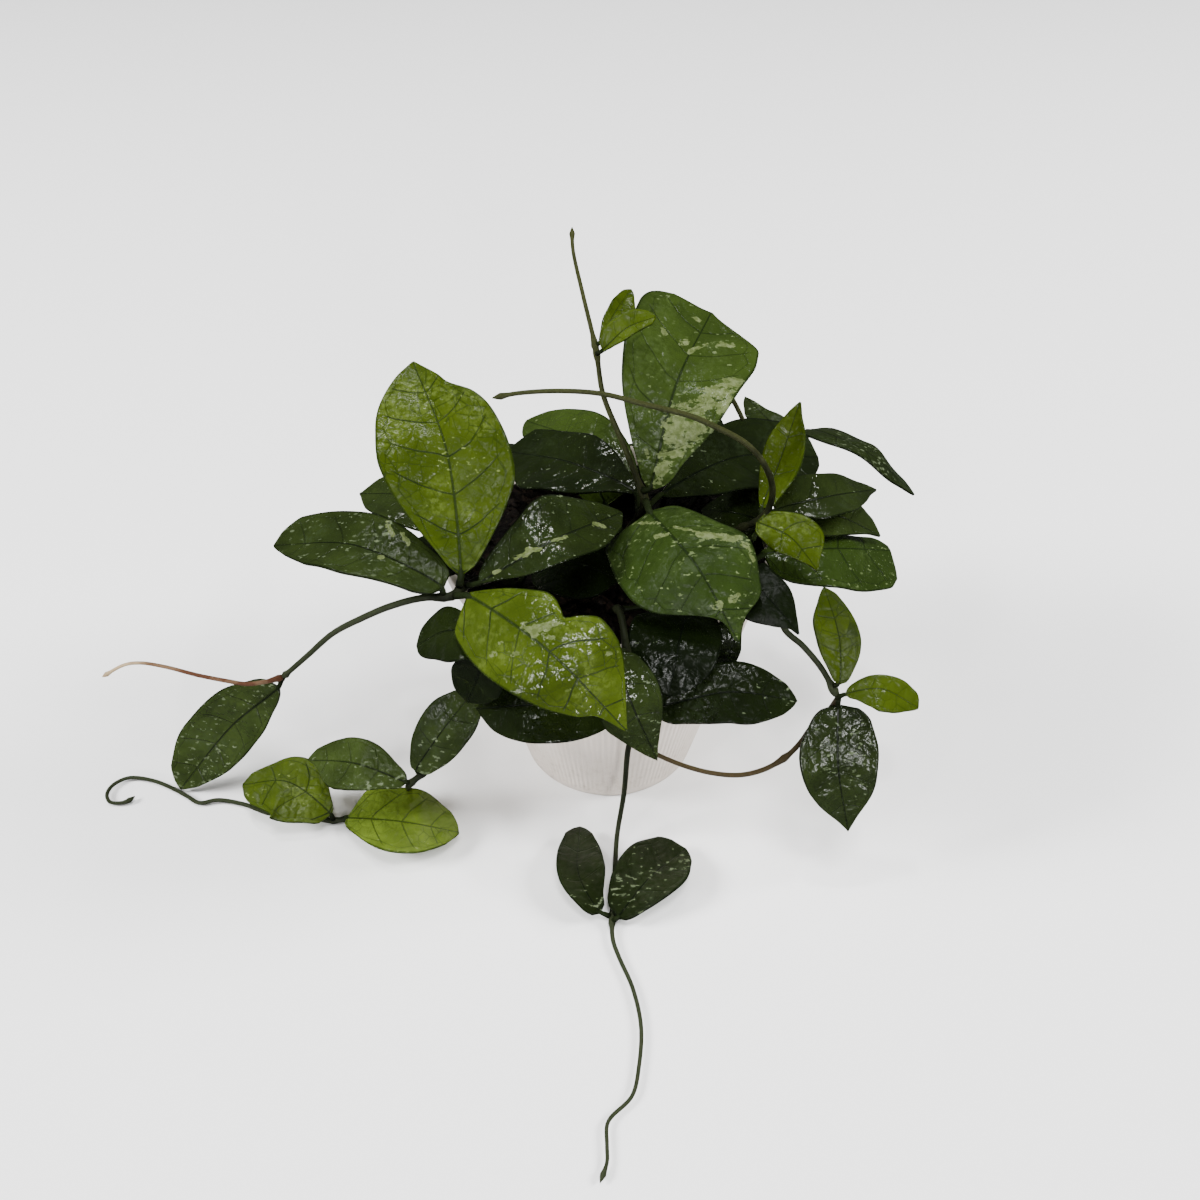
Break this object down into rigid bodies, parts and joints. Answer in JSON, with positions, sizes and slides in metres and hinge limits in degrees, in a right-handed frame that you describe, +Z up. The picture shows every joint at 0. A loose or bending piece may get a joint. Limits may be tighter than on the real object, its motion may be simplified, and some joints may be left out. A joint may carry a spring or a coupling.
{
  "type": "potted hoya plant",
  "caption": "Splash-leaved hoya with lime and dark green waxy leaves and bare vines that arch and trail from a ribbed off-white nursery pot.",
  "frame": {"origin": "centre of the pot's base, on the surface that the pot stands on", "axes": "+Z up along the pot's axis, -Y towards the side where the long front vine trails, +X to the right of a viewer who stands there"},
  "size_m": [0.388, 0.4054, 0.2503],
  "materials": {
    "pot": "off-white plastic, finely ribbed, slightly satin",
    "soil": "dark crumbly bark mix, rough",
    "stem": "olive green vine, satin",
    "stem_brown": "reddish brown young shoot, satin",
    "leaf_lime": "young lime green leaf, waxy gloss, darker veins and pale flecks",
    "leaf_green": "mid green leaf, waxy gloss, cream patches and flecks",
    "leaf_dark": "old dark green leaf, waxy gloss, silver grey flecks"
  },
  "bodies": {
    "root": {"pot": "pot", "soil": "soil", "stem_left": "stem", "stem_centre": "stem", "stem_right": "stem", "stem_right_back": "stem", "stem_behind": "stem", "stem_right_low": "stem", "stem_left_low": "stem", "stem_front": "stem", "stem_back": "stem", "shoot_left": "stem_brown", "shoot_right": "stem_brown", "leaf_left_up": "leaf_lime", "leaf_left_front": "leaf_lime", "leaf_left_out": "leaf_dark", "leaf_left_in": "leaf_dark", "leaf_left_behind": "leaf_dark", "leaf_left_under": "leaf_dark", "leaf_left_end": "leaf_dark", "leaf_centre_up": "leaf_green", "leaf_centre_left": "leaf_dark", "leaf_centre_right": "leaf_dark", "leaf_centre_front": "leaf_green", "leaf_centre_back": "leaf_green", "leaf_top_left": "leaf_lime", "leaf_top_right": "leaf_lime", "leaf_right_up": "leaf_lime", "leaf_right_low": "leaf_lime", "leaf_back_grey": "leaf_dark", "leaf_arching": "leaf_dark", "leaf_right_upper": "leaf_dark", "leaf_right_middle": "leaf_dark", "leaf_right_round": "leaf_green", "leaf_right_down": "leaf_dark", "leaf_sprig_up": "leaf_lime", "leaf_sprig_right": "leaf_lime", "leaf_sprig_down": "leaf_dark", "leaf_front_left": "leaf_dark", "leaf_front_right": "leaf_dark", "leaf_front_point": "leaf_dark", "leaf_front_shade": "leaf_dark", "leaf_front_under": "leaf_dark", "leaf_side_out": "leaf_dark", "leaf_side_down": "leaf_dark", "leaf_low_up": "leaf_dark", "leaf_low_out": "leaf_dark", "leaf_table_fold": "leaf_lime", "leaf_table_lime": "leaf_lime", "leaf_tail_left": "leaf_dark", "leaf_tail_right": "leaf_dark", "leaf_heart_left": "leaf_dark", "leaf_right_in": "leaf_dark", "leaf_heart_back": "leaf_dark", "leaf_rear_left": "leaf_dark", "leaf_rear_right": "leaf_green", "leaf_rear_low_left": "leaf_dark", "leaf_rear_low_right": "leaf_dark", "leaf_rear_tail_left": "leaf_lime", "leaf_rear_tail_right": "leaf_lime"}
  },
  "joints": []
}
